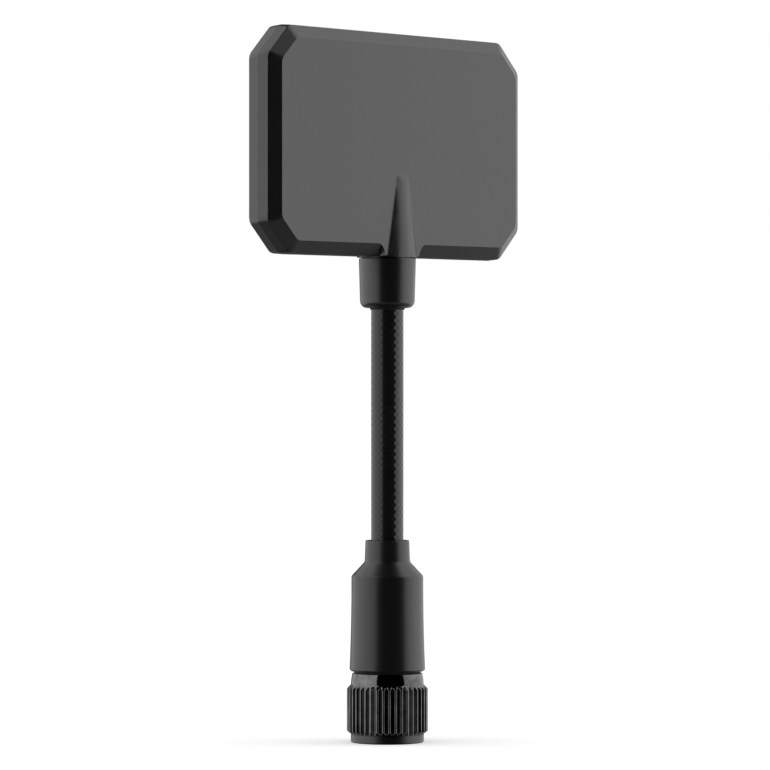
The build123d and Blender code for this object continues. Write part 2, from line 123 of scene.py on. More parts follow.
class ShaderTree:
    """The node tree of one material, with a Principled shader in front."""

    def __init__(self, tree: bpy.types.NodeTree) -> None:
        """Empties the tree.

        Args:
            tree: the node tree of a material or world.
        """
        self.tree = tree
        tree.nodes.clear()

    def node(self, kind: str, settings: dict[str, Any], sockets: dict[Any, Any]) -> bpy.types.Node:
        """Adds one node, its settings first and then its sockets.

        Args:
            kind: the node's type name.
            settings: its properties, such as a Math node's operation.
            sockets: values, Signals or output sockets by the input's name or number.

        Returns:
            The new node.
        """
        made = self.tree.nodes.new(kind)
        for key, value in settings.items():
            setattr(made, key, value)
        for key, value in sockets.items():
            self.feed(made.inputs[key], value)
        return made

    def feed(self, socket: bpy.types.NodeSocket, value: Any) -> None:
        """Sets a socket's value, or links it to a Signal or an output socket."""
        if isinstance(value, Signal):
            self.tree.links.new(value.socket, socket)
        elif isinstance(value, bpy.types.NodeSocket):
            self.tree.links.new(value, socket)
        else:
            socket.default_value = value

    def math(self, operation: str, *terms: Number) -> Signal:
        """A Math node on numbers or Signals."""
        made = self.node("ShaderNodeMath", {"operation": operation}, dict(enumerate(terms)))
        return Signal(self, made.outputs[0])

    def place(self, stretch: Colour = (1.0, 1.0, 1.0)) -> bpy.types.NodeSocket:
        """Object coordinates in metres, multiplied by stretch along X, Y and Z."""
        source = self.node("ShaderNodeTexCoord", {}, {})
        mapped = self.node(
            "ShaderNodeMapping", {}, {"Vector": source.outputs["Object"], "Scale": stretch}
        )
        return mapped.outputs["Vector"]

    def axes(self, place: bpy.types.NodeSocket) -> tuple[Signal, Signal, Signal]:
        """The three numbers of a position."""
        split = self.node("ShaderNodeSeparateXYZ", {}, {"Vector": place})
        return tuple(Signal(self, out) for out in split.outputs)

    def noise(self, place: Any, cell: float, detail: float = 2.0, rough: float = 0.5) -> Signal:
        """Cloudy variation from 0 to 1, with cells about the given millimetres wide."""
        made = self.node(
            "ShaderNodeTexNoise",
            {},
            {"Vector": place, "Scale": 1 / (cell * MM), "Detail": detail, "Roughness": rough},
        )
        return Signal(self, made.outputs[0])

    def blend(self, mask: Number, low: Colour, high: Colour) -> bpy.types.NodeSocket:
        """A colour between low and high, by the mask."""
        made = self.node(
            "ShaderNodeMix", {"data_type": "RGBA"}, {0: mask, 6: (*low, 1.0), 7: (*high, 1.0)}
        )
        return made.outputs[2]

    def bump(self, height: Signal, depth: float) -> bpy.types.NodeSocket:
        """A normal bent by a height from 0 to 1 that stands for depth millimetres."""
        made = self.node("ShaderNodeBump", {}, {"Height": height, "Distance": depth * MM})
        return made.outputs["Normal"]

    def surface(self, sockets: dict[str, Any]) -> None:
        """Adds the Principled shader with these sockets and links it to the output."""
        shader = self.node("ShaderNodeBsdfPrincipled", {}, sockets)
        self.node("ShaderNodeOutputMaterial", {}, {"Surface": shader.outputs[0]})


@dataclass(frozen=True)
class Finish:
    """A surface finish. A subclass lays its nodes in dress."""

    name: str

    def material(self) -> bpy.types.Material:
        """The material of this finish, made on first use."""
        made = bpy.data.materials.get(self.name)
        if made is None:
            made = bpy.data.materials.new(self.name)
            made.use_nodes = True
            self.dress(ShaderTree(made.node_tree))
        return made

    def dress(self, tree: ShaderTree) -> None:
        """Lays the nodes of the finish."""
        raise NotImplementedError


@dataclass(frozen=True)
class MouldedPlastic(Finish):
    """Black moulded plastic with a fine satin grain and slightly uneven gloss."""

    shade: float = 0.006
    gloss: float = 0.3
    grain: float = 0.16
    relief: float = 0.004
    index: float = 1.5
    cloud_cell: float = 7.0
    darkest: float = 0.8
    palest: float = 1.25
    cloud_share: float = 0.6
    cloud_gloss: float = 0.05
    grain_gloss: float = 0.06

    def dress(self, tree: ShaderTree) -> None:
        """Cloudy shade, uneven gloss and a fine grain in the surface."""
        place = tree.place()
        cloud = tree.noise(place, self.cloud_cell, 3.0, 0.6)
        grain = tree.noise(place, self.grain, 2.0)
        dark = self.shade * self.darkest
        pale = self.shade * self.palest
        mask = self.cloud_share * cloud + (1 - self.cloud_share) * grain
        uneven = self.cloud_gloss * (cloud - 0.5)
        tree.surface(
            {
                "Base Color": tree.blend(
                    mask, (dark, dark, dark * 1.04), (pale, pale, pale * 1.06)
                ),
                "Roughness": self.gloss + uneven + self.grain_gloss * (grain - 0.5),
                "Normal": tree.bump(grain, self.relief),
                "IOR": self.index,
            }
        )


@dataclass(frozen=True)
class ShrunkFilm(Finish):
    """Thin black film shrunk tight: glossy, with faint drawn lines along the stem."""

    shade: float = 0.005
    gloss: float = 0.2
    index: float = 1.38
    line_cell: float = 0.35
    line_relief: float = 0.002
    line_gloss: float = 0.05
    cloud_cell: float = 2.5
    cloud_gloss: float = 0.08
    darkest: float = 0.7
    palest: float = 1.4

    def dress(self, tree: ShaderTree) -> None:
        """Lines drawn along Z, a cloudy shade and small dull specks."""
        lines = tree.noise(tree.place((1.0, 1.0, 0.05)), self.line_cell, 3.0)
        cloud = tree.noise(tree.place(), self.cloud_cell, 3.0, 0.6)
        dark = self.shade * self.darkest
        pale = self.shade * self.palest
        uneven = self.cloud_gloss * (cloud - 0.5)
        tree.surface(
            {
                "Base Color": tree.blend(cloud, (dark, dark, dark), (pale, pale, pale * 1.05)),
                "Roughness": self.gloss + uneven + self.line_gloss * (lines - 0.5),
                "Normal": tree.bump(lines, self.line_relief),
                "IOR": self.index,
            }
        )


@dataclass(frozen=True)
class TurnedMetal(Finish):
    """Metal or plating with fine turning lines round the stem's axis and a cloudy tarnish."""

    colour: Colour = (0.8, 0.8, 0.8)
    tarnish: Colour = (0.6, 0.6, 0.6)
    gloss: float = 0.25
    line: float = 0.06
    relief: float = 0.0006
    cloud_cell: float = 1.8
    cloud_gloss: float = 0.06
    line_gloss: float = 0.03
    dull_below: float = 0.0
    dull_blur: float = 0.04
    dull_gloss: float = 0.27

    def dress(self, tree: ShaderTree) -> None:
        """Rings that depend on the radius and height alone, tarnish in patches and a dull foot."""
        place = tree.place()
        x, y, z = tree.axes(place)
        radius = (x * x + y * y) ** 0.5
        ring = tree.node("ShaderNodeCombineXYZ", {}, {"X": radius, "Z": z})
        lines = tree.noise(ring.outputs[0], self.line, 3.0, 0.6)
        cloud = tree.noise(place, self.cloud_cell, 4.0, 0.6)
        tone = cloud.step(0.3, 0.8)
        gloss = self.gloss + self.cloud_gloss * (cloud - 0.5) + self.line_gloss * (lines - 0.5)
        if self.dull_below:
            low = (self.dull_below - self.dull_blur) * MM
            high = (self.dull_below + self.dull_blur) * MM
            dull = 1 - z.step(low, high)
            tone = tree.math("MAXIMUM", tone, dull)
            gloss = gloss + self.dull_gloss * dull
        tree.surface(
            {
                "Base Color": tree.blend(tone, self.colour, self.tarnish),
                "Roughness": gloss,
                "Normal": tree.bump(lines, self.relief),
                "Metallic": 1.0,
            }
        )


@dataclass(frozen=True)
class BraidedMetal(Finish):
    """Round braid soaked in tin: crossing strands with the hollows filled."""

    colour: Colour = (0.62, 0.62, 0.62)
    ends: int = 12
    lay: float = 3.4
    relief: float = 0.03

    def dress(self, tree: ShaderTree) -> None:
        """Two sets of strands that cross round the axis, as height and shade."""
        x, y, z = tree.axes(tree.place())
        turn = tree.math("ARCTAN2", y, x) * float(self.ends)
        climb = z * (2 * FULL_TURN / (self.lay * MM))
        strands = (turn + climb).sine() * (turn - climb).sine() * 0.5 + 0.5
        cloud = tree.noise(tree.place(), 0.8, 3.0)
        pit = tuple(0.55 * part for part in self.colour)
        tree.surface(
            {
                "Base Color": tree.blend(strands * 0.7 + cloud * 0.3, pit, self.colour),
                "Roughness": 0.32 + 0.2 * cloud,
                "Normal": tree.bump(strands + 0.3 * cloud, self.relief),
                "Metallic": 1.0,
            }
        )


@dataclass(frozen=True)
class SoftSolid(Finish):
    """Waxy polymer or rubber, clouded under the skin."""

    colour: Colour = (0.85, 0.85, 0.83)
    deep: Colour = (0.75, 0.75, 0.72)
    gloss: float = 0.4
    relief: float = 0.004
    index: float = 1.38
    cloud_cell: float = 1.2
    skin_cell: float = 0.09
    skin_gloss: float = 0.12

    def dress(self, tree: ShaderTree) -> None:
        """Cloudy colour with a fine uneven skin."""
        place = tree.place()
        cloud = tree.noise(place, self.cloud_cell, 3.0)
        skin = tree.noise(place, self.skin_cell, 2.0)
        tree.surface(
            {
                "Base Color": tree.blend(cloud, self.colour, self.deep),
                "Roughness": self.gloss + self.skin_gloss * (skin - 0.5),
                "Normal": tree.bump(skin, self.relief),
                "IOR": self.index,
            }
        )


@dataclass(frozen=True)
class Laminate(Finish):
    """Glass-cloth board under a green lacquer, with the weave just showing."""

    colour: Colour = (0.05, 0.15, 0.09)
    thread: Colour = (0.09, 0.22, 0.14)
    pitch: float = 0.5
    gloss: float = 0.3
    relief: float = 0.006

    def dress(self, tree: ShaderTree) -> None:
        """Warp and weft along X and Z as shade and a faint relief."""
        place = tree.place()
        x, _, z = tree.axes(place)
        rate = FULL_TURN / (self.pitch * MM)
        weave = (x * rate).sine() * (z * rate).sine() * 0.5 + 0.5
        cloud = tree.noise(place, 3.0, 3.0)
        tree.surface(
            {
                "Base Color": tree.blend(weave * 0.6 + cloud * 0.4, self.colour, self.thread),
                "Roughness": self.gloss + 0.15 * cloud,
                "Normal": tree.bump(weave, self.relief),
            }
        )


SHELL_SATIN = MouldedPlastic("shell_satin", shade=0.0045)
COLLAR_SATIN = MouldedPlastic("collar_satin", shade=0.004, gloss=0.3, index=1.48)
BOOT_SATIN = MouldedPlastic("boot_satin", shade=0.0042, gloss=0.3, grain=0.12, index=1.45)
SLEEVE_FILM = ShrunkFilm("shrunk_film")
BLACK_PLATE = TurnedMetal(
    "black_plating", colour=(0.105, 0.105, 0.107), tarnish=(0.045, 0.045, 0.046), gloss=0.09,
    relief=0.0002, dull_below=1.17,
)
# Painted shade: a near-black, duller copy of the black plating, for the connector body that shows
# only in the narrow gap under the boot.
SHADED_PLATE = TurnedMetal(
    "shaded_plating", colour=(0.008, 0.008, 0.008), tarnish=(0.006, 0.006, 0.006), gloss=0.45
)
GOLD_PLATE = TurnedMetal("gold_plating", colour=(0.86, 0.66, 0.32), tarnish=(0.78, 0.56, 0.25))
SPRING_BRONZE = TurnedMetal("bronze_wire", colour=(0.6, 0.42, 0.22), tarnish=(0.42, 0.28, 0.14))
SILVERED_WIRE = TurnedMetal("silver_plating", colour=(0.8, 0.8, 0.78), tarnish=(0.66, 0.64, 0.6))
SOLDER_TIN = TurnedMetal(
    "solder_tin", colour=(0.66, 0.66, 0.67), tarnish=(0.5, 0.5, 0.5), gloss=0.38, line=0.3
)
ETCHED_COPPER = TurnedMetal(
    "etched_copper", colour=(0.75, 0.43, 0.27), tarnish=(0.5, 0.26, 0.16), gloss=0.35, line=0.2
)
TINNED_BRAID = BraidedMetal("tin_soaked_braid")
WHITE_POLYMER = SoftSolid("white_polymer")
# Painted shade: a near-black, dull finish for the boot's lip in the gap over the nut and for the
# glue ring in the collar's mouth. It stands in for the shadow lines under the boot and under the
# collar's foot.
PAINTED_SHADE_RING = SoftSolid(
    "painted_shade_ring", colour=(0.004, 0.004, 0.004), deep=(0.002, 0.002, 0.002), gloss=0.75
)
SEAL_RUBBER = SoftSolid("silicone", colour=(0.36, 0.09, 0.06), deep=(0.26, 0.06, 0.04), gloss=0.55)
BOARD_LAMINATE = Laminate("board_laminate")


@dataclass(frozen=True)
class Corner:
    """A corner of a turned section, in millimetres, and the radius that rounds it."""

    radius: float
    height: float
    round: float = 0.0

    def point(self) -> Vector:
        """The corner in the XZ plane, in metres."""
        return Vector((self.radius * MM, 0.0, self.height * MM))


class Lathe:
    """Turns sections round the stem's axis with bmesh operators."""

    round_segments: int = 4

    def __init__(self) -> None:
        """Starts with an empty mesh."""
        self.mesh = bmesh.new()

    def wire(self, corners: Sequence[Corner], closed: bool) -> None:
        """Draws a section as a wire with rounded corners.

        Args:
            corners: the section's corners in order.
            closed: whether the last corner joins the first.
        """
        points = [self.mesh.verts.new(corner.point()) for corner in corners]
        pairs = list(zip(points, points[1:] + points[:1]))
        for pair in pairs if closed else pairs[:-1]:
            self.mesh.edges.new(pair)
        count = len(corners)
        for index, corner in enumerate(corners):
            if corner.round:
                before = corners[index - 1].point() - corner.point()
                after = corners[(index + 1) % count].point() - corner.point()
                reach = corner.round * MM / math.tan(before.angle(after) / 2)
                bmesh.ops.bevel(
                    self.mesh, geom=[points[index]], offset=reach, offset_type="OFFSET",
                    segments=self.round_segments, profile=0.5, affect="VERTICES", material=-1,
                )

    def divide(self, outside: float, low: float, high: float, cuts: int) -> None:
        """Cuts the longest run of wire beyond a radius and between two heights into equal parts.

        Args:
            outside: the radius, in millimetres, that the run lies beyond.
            low: the lowest height of the run's middle.
            high: the highest height of the run's middle.
            cuts: how many cuts the run gets.
        """
        runs = []
        for edge in self.mesh.edges:
            middle = (edge.verts[0].co + edge.verts[1].co) / 2 / MM
            if middle.x > outside and low < middle.z < high:
                runs.append(edge)
        longest = max(runs, key=lambda edge: edge.calc_length())
        bmesh.ops.subdivide_edges(self.mesh, edges=[longest], cuts=cuts)

    def spin(self, steps: int, rise: float = 0.0, turns: int = 1) -> None:
        """Turns all loose wire round the Z axis.

        Args:
            steps: steps in one turn.
            rise: the climb of one turn in millimetres, for a thread.
            turns: whole turns.
        """
        loose = [edge for edge in self.mesh.edges if not edge.link_faces]
        ends = list(dict.fromkeys(vert for edge in loose for vert in edge.verts))
        bmesh.ops.spin(
            self.mesh, geom=loose + ends, cent=(0, 0, 0), axis=(0, 0, 1),
            dvec=(0, 0, rise * MM / steps), angle=FULL_TURN * turns, steps=steps * turns,
            use_merge=rise == 0,
        )
        bmesh.ops.remove_doubles(self.mesh, verts=self.mesh.verts, dist=MERGE_REACH)


@dataclass
class Piece:
    """One visible piece of the antenna, and how it is dressed.

    Lengths are in millimetres and angles in degrees. The crease is the angle from which an edge
    stays sharp, and the ease is the width of the bevel on such edges. The nodes are the packed
    ones that the piece stands for, and the ring is a narrow part with a finish of its own.
    """

    name: str
    body: Body
    slot: Slot
    finish: Finish
    nodes: tuple[str, ...]
    crease: float = 40.0
    ease: float = 0.0
    ring_finish: Optional[Finish] = None

    def form(self) -> bmesh.types.BMesh:
        """Builds the piece's shape in place, in metres."""
        raise NotImplementedError

    def on_ring(self, middle: Vector) -> bool:
        """Whether a face with its middle here takes the ring's finish."""
        return False

    def build(self) -> bpy.types.Object:
        """Builds the shape, dresses it and hangs it on its body."""
        shape = self.form()
        bmesh.ops.recalc_face_normals(shape, faces=shape.faces)
        open_edges = sum(not edge.is_manifold for edge in shape.edges)
        data = bpy.data.meshes.new(self.name)
        shape.to_mesh(data)
        shape.free()
        data.shade_smooth()
        data.set_sharp_from_angle(angle=math.radians(self.crease))
        data.materials.append(self.finish.material())
        if self.ring_finish:
            data.materials.append(self.ring_finish.material())
            for face in data.polygons:
                face.material_index = int(self.on_ring(face.center))
        piece = bpy.data.objects.new(self.name, data)
        bpy.context.scene.collection.objects.link(piece)
        if self.ease:
            eased = piece.modifiers.new("eased_edges", "BEVEL")
            eased.limit_method = "ANGLE"
            eased.angle_limit = math.radians(self.crease)
            eased.width = self.ease * MM
            eased.segments = 3
        weighted = piece.modifiers.new("face_weighted_normals", "WEIGHTED_NORMAL")
        weighted.keep_sharp = True
        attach(piece, self.body.value)
        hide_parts(*self.nodes)
        log.info("%s: %d faces, %d open edges", self.name, len(data.polygons), open_edges)
        return piece


@dataclass
class CouplingNut(Piece):
    """The knurled nut: foot, chamfered ribs, crowned neck and a threaded mouth."""

    foot_radius: float = 4.5
    foot_chamfer: float = 0.1
    foot_top: float = 1.02
    undercut: float = 0.1
    undercut_rise: float = 0.03
    rib_bottom: float = 1.12
    rib_start: float = 1.42
    rib_top: float = 7.13
    rib_radius: float = 5.0
    rib_root: float = 4.6
    rib_chamfer: float = 0.52
    ribs: int = 40
    neck_radius: float = 4.3
    height: float = 8.5
    mouth_chamfer: float = 0.35
    thread_pitch: float = 0.7056
    thread_crest: float = 2.86
    thread_root: float = 3.12
    thread_top: float = 3.2
    thread_steps: int = 96
    thread_turns: int = 6
    bore_radius: float = 3.15
    ring_groove_radius: float = 3.5
    ring_groove_low: float = 6.57
    ring_groove_high: float = 7.23
    groove_share: float = 0.91
    end_cuts: int = 6
    crown_shares: tuple[float, ...] = (0.0, 0.2, 0.4, 0.6, 0.8)
    # The section of the thread's tooth: its share of the depth, and its height from the start.
    tooth: tuple[tuple[float, float], ...] = ((0.0, 0.0), (0.0, 0.2), (1.0, 0.35), (1.0, 0.55))
    # The section of half a rib: distance along the rim from its middle, and depth below its crest.
    half_rib: tuple[tuple[float, float], ...] = (
        (0.0, 0.0), (0.0496, 0.007), (0.0954, 0.0273), (0.1338, 0.0595), (0.1618, 0.1011),
        (0.2998, 0.384), (0.32, 0.3975), (0.345, 0.4), (0.3927, 0.4),
    )

    def section(self) -> list[Corner]:
        """The outside and the bore, from the mouth round to the top of the thread."""
        root = self.rib_radius - self.rib_chamfer
        drop = root - self.neck_radius
        rise = self.height - self.rib_top
        crown = [
            Corner(root - drop * share**2, self.rib_top + rise * share)
            for share in self.crown_shares
        ]
        return [
            Corner(self.thread_crest + self.mouth_chamfer, 0.0, 0.03),
            Corner(self.foot_radius - self.foot_chamfer, 0.0, 0.04),
            Corner(self.foot_radius, self.foot_chamfer, 0.04),
            Corner(self.foot_radius, self.foot_top, 0.03),
            Corner(self.foot_radius - self.undercut, self.foot_top + self.undercut_rise),
            Corner(self.foot_radius - self.undercut, self.rib_bottom),
            Corner(self.rib_root, self.rib_bottom),
            Corner(self.rib_radius, self.rib_start, 0.04),
            Corner(self.rib_radius, self.rib_top - self.rib_chamfer, 0.04),
            *crown,
            Corner(self.neck_radius, self.height, 0.03),
            Corner(self.bore_radius, self.height, 0.06),
            Corner(self.bore_radius, self.ring_groove_high),
            Corner(self.ring_groove_radius, self.ring_groove_high),
            Corner(self.ring_groove_radius, self.ring_groove_low),
            Corner(self.bore_radius, self.ring_groove_low),
            Corner(self.bore_radius, self.thread_top),
        ]

    def cut_thread(self, lathe: Lathe) -> None:
        """Winds one turn's tooth up the bore and cuts it flat at both ends."""
        start = self.mouth_chamfer - self.thread_pitch - 0.01
        tooth = (*self.tooth, (0.0, self.thread_pitch))
        depth = self.thread_root - self.thread_crest
        corners = [Corner(self.thread_crest + depth * out, start + up) for out, up in tooth]
        lathe.wire(corners, closed=False)
        lathe.spin(self.thread_steps, self.thread_pitch, self.thread_turns)
        mesh = lathe.mesh
        for height, below in ((self.mouth_chamfer, True), (self.thread_top, False)):
            bmesh.ops.bisect_plane(
                mesh, geom=mesh.verts[:] + mesh.edges[:] + mesh.faces[:],
                plane_co=(0, 0, height * MM), plane_no=(0, 0, 1),
                clear_inner=below, clear_outer=not below,
            )

    def knurl(self, mesh: bmesh.types.BMesh) -> None:
        """Moves every vertex to its place on the rib section and pulls the grooves in."""
        steps = len(self.half_rib) - 1
        pitch = FULL_TURN / self.ribs
        for vert in mesh.verts:
            radius = vert.co.xy.length
            angle = math.atan2(vert.co.y, vert.co.x)
            rib = round(angle / pitch)
            offset = round((angle / pitch - rib) * 2 * steps)
            along, depth = self.half_rib[abs(offset)]
            turned = rib * pitch + math.copysign(along / self.rib_radius, offset)
            if radius > self.rib_radius * self.groove_share * MM:
                radius = min(radius, (self.rib_radius - depth) * MM)
            vert.co.x = radius * math.cos(turned)
            vert.co.y = radius * math.sin(turned)

    def form(self) -> bmesh.types.BMesh:
        """Turns the outside, knurls it, cuts the thread and closes the two together."""
        outside = Lathe()
        outside.wire(self.section(), closed=False)
        for start, end in (
            (self.rib_bottom, self.rib_start), (self.rib_top - self.rib_chamfer, self.rib_top)
        ):
            outside.divide(self.foot_radius, start, end, cuts=self.end_cuts)
        outside.spin(self.ribs * 2 * (len(self.half_rib) - 1))
        self.knurl(outside.mesh)
        thread = Lathe()
        self.cut_thread(thread)
        scrap = bpy.data.meshes.new("thread_scrap")
        thread.mesh.to_mesh(scrap)
        thread.mesh.free()
        shape = outside.mesh
        shape.from_mesh(scrap)
        bpy.data.meshes.remove(scrap)
        rims = [edge for edge in shape.edges if edge.is_boundary]
        for low, high in ((-1.0, 1.0), (1.0, 4.0)):
            pair = [edge for edge in rims if low * MM < edge.verts[0].co.z < high * MM]
            bmesh.ops.bridge_loops(shape, edges=pair)
        return shape


@dataclass
class PlugBoot(Piece):
    """The moulded boot: a dark lip over the nut, whose near-black finish is painted shade in the
    gap, then the flared foot, barrel, shoulder and short neck.
    """

    bottom: float = 8.75
    foot_radius: float = 4.66
    foot_chamfer: float = 0.22
    barrel_radius: float = 4.43
    flare_end: float = 19.37
    barrel_end: float = 20.47
    shoulder_end: float = 22.22
    top: float = 24.87
    lip_radius: float = 4.08
    lip_bottom: float = 8.53
    flare_steps: int = 8
    neck_foot_radius: float = 2.8
    neck_radius: float = 2.7
    sleeve_bore: float = 2.02
    solder_bore: float = 2.55
    solder_top: float = 13.99
    flange_bore: float = 3.72
    flange_top: float = 10.29
    steps_round: int = 180

    def form(self) -> bmesh.types.BMesh:
        """Turns the boot with its pockets for the flange, the solder barrel and the sleeve."""
        start = self.bottom + self.foot_chamfer
        reach = self.flare_end - start
        spread = self.foot_radius - self.barrel_radius
        flare = [
            Corner(
                self.barrel_radius + spread * (1 - step / self.flare_steps) ** 2,
                start + reach * step / self.flare_steps,
                0.06 if step == 0 else 0.0,
            )
            for step in range(self.flare_steps + 1)
        ]
        corners = [
            Corner(self.foot_radius - self.foot_chamfer, self.bottom, 0.06),
            *flare,
            Corner(self.barrel_radius, self.barrel_end, 0.5),
            Corner(self.neck_foot_radius, self.shoulder_end, 0.6),
            Corner(self.neck_radius, self.top, 0.12),
            Corner(self.sleeve_bore, self.top, 0.04),
            Corner(self.sleeve_bore, self.solder_top),
            Corner(self.solder_bore, self.solder_top),
            Corner(self.solder_bore, self.flange_top),
            Corner(self.flange_bore, self.flange_top),
            Corner(self.flange_bore, self.lip_bottom, 0.02),
            Corner(self.lip_radius, self.lip_bottom, 0.02),
            Corner(self.lip_radius, self.bottom),
        ]
        lathe = Lathe()
        lathe.wire(corners, closed=True)
        lathe.spin(self.steps_round)
        return lathe.mesh

    def on_ring(self, middle: Vector) -> bool:
        """Whether a face with its middle here is of the dark lip, which takes the painted shade
        finish.
        """
        return middle.z < (self.bottom - 0.01) * MM


@dataclass
class StemCollar(Piece):
    """The moulded cup under the head, with a ring of glue round the sleeve, whose near-black finish
    is also painted shade under the foot, and a hidden neck.
    """

    bottom: float = 53.47
    glue_sink: float = 0.2
    glue_drop: float = 0.22
    glue_radius: float = 2.14
    foot_radius: float = 3.35
    rim_radius: float = 3.52
    height: float = 6.11
    mouth_radius: float = 2.2
    sleeve_bore: float = 2.02
    sleeve_end: float = 58.05
    cable_bore: float = 1.81
    neck_radius: float = 2.8
    neck_height: float = 2.5
    steps_round: int = 160

    def form(self) -> bmesh.types.BMesh:
        """Turns the cup, the glue in its mouth and the neck that the shells clamp."""
        top = self.bottom + self.height
        neck_top = top + self.neck_height
        corners = [
            Corner(self.mouth_radius, self.bottom + self.glue_sink),
            Corner(self.glue_radius, self.bottom + self.glue_sink),
            Corner(self.glue_radius, self.bottom - self.glue_drop, 0.05),
            Corner(self.sleeve_bore, self.bottom - self.glue_drop, 0.02),
            Corner(self.sleeve_bore, self.sleeve_end),
            Corner(self.cable_bore, self.sleeve_end),
            Corner(self.cable_bore, neck_top),
            Corner(self.neck_radius, neck_top, 0.1),
            Corner(self.neck_radius, top),
            Corner(self.rim_radius, top, 0.11),
            Corner(self.foot_radius, self.bottom, 0.85),
            Corner(self.mouth_radius, self.bottom, 0.05),
        ]
        lathe = Lathe()
        lathe.wire(corners, closed=True)
        lathe.spin(self.steps_round)
        return lathe.mesh

    def on_ring(self, middle: Vector) -> bool:
        """Whether a face with its middle here is of the glue, which takes the near-black finish
        that is also painted shade.
        """
        inside = middle.xy.length < (self.mouth_radius - 0.01) * MM
        return inside and middle.z < (self.bottom + self.glue_sink) * MM


@dataclass
class StemSleeve(Piece):
    """The film shrunk over the braided cable, with the braid pressed through it."""

    outer: float = 2.0
    inner: float = 1.81
    bottom: float = 14.07
    shown_from: float = 24.8
    shown_to: float = 53.3
    top: float = 57.97
    cells_round: int = 14
    cell_length: float = 0.887
    relief: float = 0.048
    pressed_side: float = -1.5
    far_side: float = 0.25
    slack: float = 0.28
    slack_rates: tuple[float, float] = (0.83, 0.31)
    rings: int = 336
    steps_round: int = 140
    skin_reach: float = 0.05

    def braid(self, angle: float, height: float) -> float:
        """How far the film sinks between the strands, from 0 on a crossing to 1 in a hollow.

        Args:
            angle: the direction round the stem, in radians.
            height: the height in millimetres.

        Returns:
            The sinking, less on the side where the film lies thicker and where it is drawn tight.
        """
        along = math.cos(FULL_TURN * height / self.cell_length)
        crossing = math.cos(self.cells_round * angle) * along
        side = (0.5 + 0.5 * math.cos(angle - self.pressed_side)) ** 2
        quick, slow = self.slack_rates
        wander = math.sin(quick * height) * math.sin(slow * height + 1.0)
        tight = 1 - self.slack + self.slack * wander
        return (0.5 - 0.5 * crossing) * (self.far_side + (1 - self.far_side) * side) * tight

    def form(self) -> bmesh.types.BMesh:
        """Turns the tube with many fine rings where it shows, and presses the braid in."""
        lathe = Lathe()
        lathe.wire(
            [
                Corner(self.inner, self.bottom),
                Corner(self.outer, self.bottom),
                Corner(self.outer, self.shown_from),
                Corner(self.outer, self.shown_to),
                Corner(self.outer, self.top),
                Corner(self.inner, self.top),
            ],
            closed=True,
        )
        lathe.divide(self.inner, self.shown_from, self.shown_to, self.rings)
        lathe.spin(self.steps_round)
        for vert in lathe.mesh.verts:
            height = vert.co.z / MM
            radius = vert.co.xy.length / MM
            shown = self.shown_from < height < self.shown_to
            if shown and radius > self.inner + self.skin_reach:
                sunk = self.relief * self.braid(math.atan2(vert.co.y, vert.co.x), height)
                vert.co.xy *= 1 - sunk / radius
        return lathe.mesh


@dataclass
class HeadShell(Piece):
    """One moulded half of the head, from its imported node, with its crisp edges eased."""

    crease: float = 24.0
    ease: float = 0.14
    face_plane: float = 2.5
    boss_reach: float = 2.63
    boss_foot: float = 59.67
    boss_tip: float = 69.7
    cone_radius: float = 3.5
    cone_slope: float = 0.0944
    foot_rise: float = 1.0
    rise_slope: float = 0.072
    most_lift: float = 2.6
    tip_width: float = 1.0
    tip_reach: float = 0.7
    width_slope: float = 0.183
    face_slack: float = 0.01
    facet_angle: float = 0.5

    def square_boss(self, shape: bmesh.types.BMesh) -> None:
        """Moves the points of the half-cone boss out, to straight flanks and a blunt tip.

        Args:
            shape: the shell, in metres.
        """
        for vert in shape.verts:
            x, y, z = vert.co / MM
            rise = abs(y) - self.face_plane
            beyond = abs(x) > self.boss_reach or z > self.boss_tip + self.tip_reach
            if beyond or rise < -self.face_slack:
                continue
            level = min(z, self.boss_tip)
            climb = level - self.boss_foot
            cone = self.cone_radius - self.cone_slope * climb
            width = math.sqrt(cone**2 - self.face_plane**2)
            wanted = self.tip_width + self.width_slope * (self.boss_tip - level)
            lift = (self.foot_rise - self.rise_slope * climb) / (cone - self.face_plane)
            vert.co.x = x * wanted / width * MM
            if rise > 0:
                raised = self.face_plane + rise * min(lift, self.most_lift)
                vert.co.y = math.copysign(raised, y) * MM

    def form(self) -> bmesh.types.BMesh:
        """Merges a copy of the node's mesh, joins its flat facets and squares the boss."""
        shape = bmesh.new()
        shape.from_mesh(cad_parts[self.nodes[0]].data)
        bmesh.ops.remove_doubles(shape, verts=shape.verts, dist=MERGE_REACH)
        bmesh.ops.dissolve_limit(
            shape, angle_limit=math.radians(self.facet_angle), verts=shape.verts,
            edges=shape.edges, use_dissolve_boundaries=False,
        )
        self.square_boss(shape)
        return shape


@dataclass(frozen=True)
class InnerParts:
    """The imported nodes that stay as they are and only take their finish."""

    finishes: tuple[tuple[Finish, tuple[str, ...]], ...] = (
        (BOARD_LAMINATE, ("antenna_board",)),
        (ETCHED_COPPER, ("driven_arm_hot", "driven_arm_ground", "reflector")),
        (SOLDER_TIN, ("feed_solder", "reflector_solder", "cable_solder")),
        (SILVERED_WIRE, ("centre_conductor",)),
        (WHITE_POLYMER, ("coax_dielectric", "connector_insulator")),
        (TINNED_BRAID, ("coax_shield",)),
        (SHADED_PLATE, ("connector_body",)),
        (GOLD_PLATE, ("centre_contact",)),
        (SEAL_RUBBER, ("gasket",)),
        (SPRING_BRONZE, ("snap_ring",)),
    )

    def dress(self) -> None:
        """Puts each finish on its nodes."""
        for finish, names in self.finishes:
            for name in names:
                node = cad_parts[name]
                node.data.materials.clear()
                node.data.materials.append(finish.material())
                log.info("%s: %s", name, finish.name)


